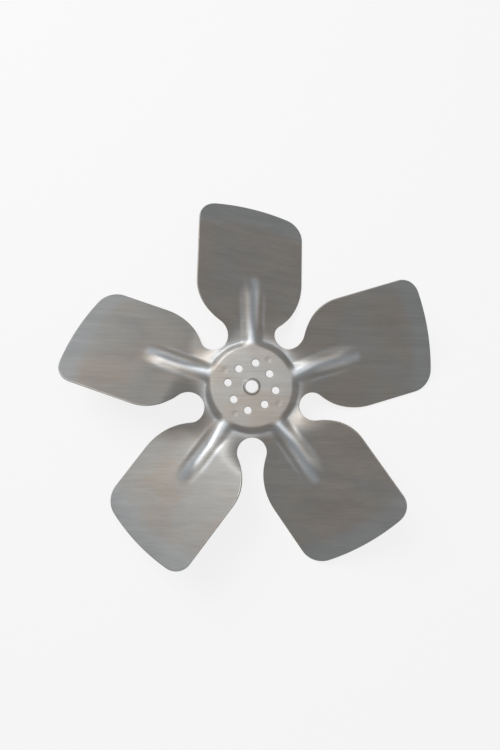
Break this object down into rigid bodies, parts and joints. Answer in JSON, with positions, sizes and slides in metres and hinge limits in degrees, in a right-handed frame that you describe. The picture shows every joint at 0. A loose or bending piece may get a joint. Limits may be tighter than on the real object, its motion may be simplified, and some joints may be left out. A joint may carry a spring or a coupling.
{
  "type": "fan blade",
  "caption": "Pressed aluminium axial fan blade: ribbed, pitched blades round a flat hub with a centre hole and two interleaved circles of screw holes.",
  "frame": {"origin": "centre of the hub's back face, on the fan's axis", "axes": "+Z along the fan's axis, out of the front face; +Y along the rib of one blade"},
  "size_m": [0.2525, 0.2438, 0.0406],
  "materials": {
    "sheet": "satin mill finish"
  },
  "bodies": {
    "root": {"fan_blade": "sheet"}
  },
  "joints": []
}
